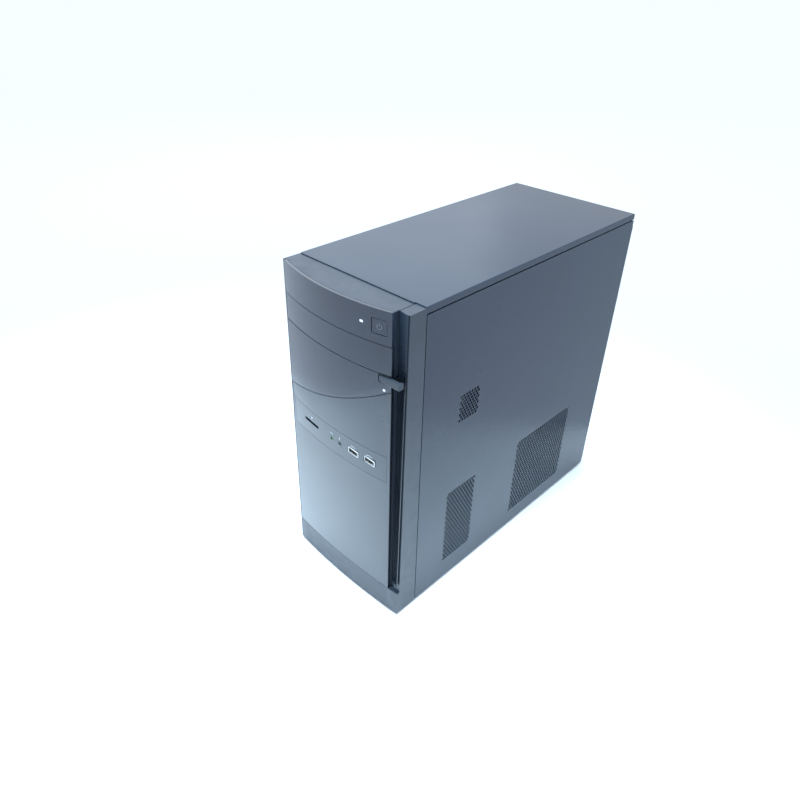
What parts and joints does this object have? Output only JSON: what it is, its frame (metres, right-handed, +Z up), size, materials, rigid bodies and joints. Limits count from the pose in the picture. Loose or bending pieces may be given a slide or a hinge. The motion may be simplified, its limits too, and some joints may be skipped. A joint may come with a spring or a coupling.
{
  "type": "desktop computer tower",
  "caption": "Black micro-tower computer: bowed gloss front with disc tray, card slot and sockets, steel shell with vented sliding side panel, and its inner hardware.",
  "frame": {"origin": "below the middle of the whole object, on the plane that the four feet stand on", "axes": "+Z up, the front faces -Y, +X to the right as seen from the front (the vented side panel is on +X)"},
  "size_m": [0.167, 0.392, 0.368],
  "materials": {
    "black_steel": "fine satin black powder coat",
    "plain_steel": "zinc-plated sheet",
    "bright_screw": "bright nickel",
    "standoff_brass": "plain brass",
    "gloss_front": "high-gloss black moulding",
    "satin_front": "satin black moulding",
    "black_plastic": "fine matt texture",
    "socket_plastic": "moulded connector bodies",
    "lamp_white": "translucent white light pipe",
    "switch_red": "red slider",
    "usb_metal": "nickel shell",
    "board_green": "solder mask on glass laminate",
    "board_brown": "paper laminate with parts on it",
    "components": "sleeved cans and moulded chokes",
    "cast_aluminium": "cast or extruded, bare",
    "foot_rubber": "soft rubber",
    "cable_sleeve": "soft sleeve"
  },
  "bodies": {
    "root": {"top_cover": "black_steel", "left_panel": "black_steel", "base_pan": "plain_steel", "board_wall": "plain_steel", "front_frame": "plain_steel", "rear_panel": "plain_steel", "drive_cage": "plain_steel", "supply_base": "plain_steel", "supply_cover": "plain_steel", "slot_covers": "plain_steel", "io_shield": "plain_steel", "drive_case": "plain_steel", "supply_guard": "plain_steel", "case_screws": "bright_screw", "metal_ports": "bright_screw", "standoffs": "standoff_brass", "upper_band": "gloss_front", "bay_blank": "gloss_front", "lower_panel": "gloss_front", "io_band": "gloss_front", "front_bezel": "satin_front", "drive_fascia": "black_plastic", "card_reader": "black_plastic", "supply_fan_frame": "black_plastic", "processor_fan_frame": "black_plastic", "rear_fan_frame": "black_plastic", "supply_inlet": "black_plastic", "memory_sockets": "socket_plastic", "card_slots": "socket_plastic", "board_headers": "socket_plastic", "plastic_ports": "socket_plastic", "audio_jacks": "socket_plastic", "status_lamps": "lamp_white", "usb_sockets": "usb_metal", "main_board": "board_green", "memory_modules": "board_green", "front_io_board": "board_green", "supply_circuit": "board_brown", "board_components": "components", "hard_disk": "cast_aluminium", "processor_sink": "cast_aluminium", "chipset_sink": "cast_aluminium", "drive_mechanism": "cast_aluminium", "feet": "foot_rubber", "board_power_cable": "cable_sleeve", "signal_cables": "cable_sleeve"},
    "side_panel": {"side_panel": "black_steel", "panel_thumbscrews": "bright_screw"},
    "tray": {"tray_front": "gloss_front", "disc_tray": "black_plastic"},
    "power_button": {"power_button": "gloss_front"},
    "eject_button": {"eject_button": "satin_front"},
    "spindle": {"spindle_hub": "black_plastic"},
    "laser_sled": {"laser_sled": "cast_aluminium"},
    "supply_fan": {"supply_fan_rotor": "black_plastic"},
    "rear_fan": {"rear_fan_rotor": "black_plastic"},
    "processor_fan": {"processor_fan_rotor": "black_plastic"},
    "voltage_switch": {"voltage_switch": "switch_red"},
    "memory_latch_1": {"memory_latch_1": "socket_plastic"},
    "memory_latch_2": {"memory_latch_2": "socket_plastic"}
  },
  "joints": [
    {"name": "panel_slide", "type": "slide", "parent": "root", "child": "side_panel", "axis": [0, 1, 0], "range_m": [0, 0.36]},
    {"name": "tray_slide", "type": "slide", "parent": "root", "child": "tray", "axis": [0, -1, 0], "range_m": [0, 0.152]},
    {"name": "power_press", "type": "slide", "parent": "root", "child": "power_button", "axis": [0, 1, 0], "range_m": [0, 0.002], "stiffness_N_per_m": 500},
    {"name": "eject_press", "type": "slide", "parent": "root", "child": "eject_button", "axis": [0, 1, 0], "range_m": [0, 0.002], "stiffness_N_per_m": 500},
    {"name": "sled_travel", "type": "slide", "parent": "root", "child": "laser_sled", "axis": [0, 1, 0], "range_m": [0, 0.033]},
    {"name": "voltage_slide", "type": "slide", "parent": "root", "child": "voltage_switch", "axis": [1, 0, 0], "range_m": [0, 0.006]},
    {"name": "spindle_spin", "type": "hinge", "parent": "root", "child": "spindle", "pos_m": [-0.003, -0.105, 0.303], "axis": [0, 0, 1], "continuous": true},
    {"name": "supply_fan_spin", "type": "hinge", "parent": "root", "child": "supply_fan", "pos_m": [-0.035, 0.177, 0.318], "axis": [0, 1, 0], "continuous": true},
    {"name": "rear_fan_spin", "type": "hinge", "parent": "root", "child": "rear_fan", "pos_m": [0.024, 0.177, 0.11], "axis": [0, 1, 0], "continuous": true},
    {"name": "processor_fan_spin", "type": "hinge", "parent": "root", "child": "processor_fan", "pos_m": [-0.0139, 0.088, 0.088], "axis": [1, 0, 0], "continuous": true},
    {"name": "latch_1_swing", "type": "hinge", "parent": "root", "child": "memory_latch_1", "pos_m": [-0.0674, 0.02, 0.1739], "axis": [0, -1, 0], "range_deg": [0, 38]},
    {"name": "latch_2_swing", "type": "hinge", "parent": "root", "child": "memory_latch_2", "pos_m": [-0.0674, 0.03, 0.1739], "axis": [0, -1, 0], "range_deg": [0, 38]}
  ]
}
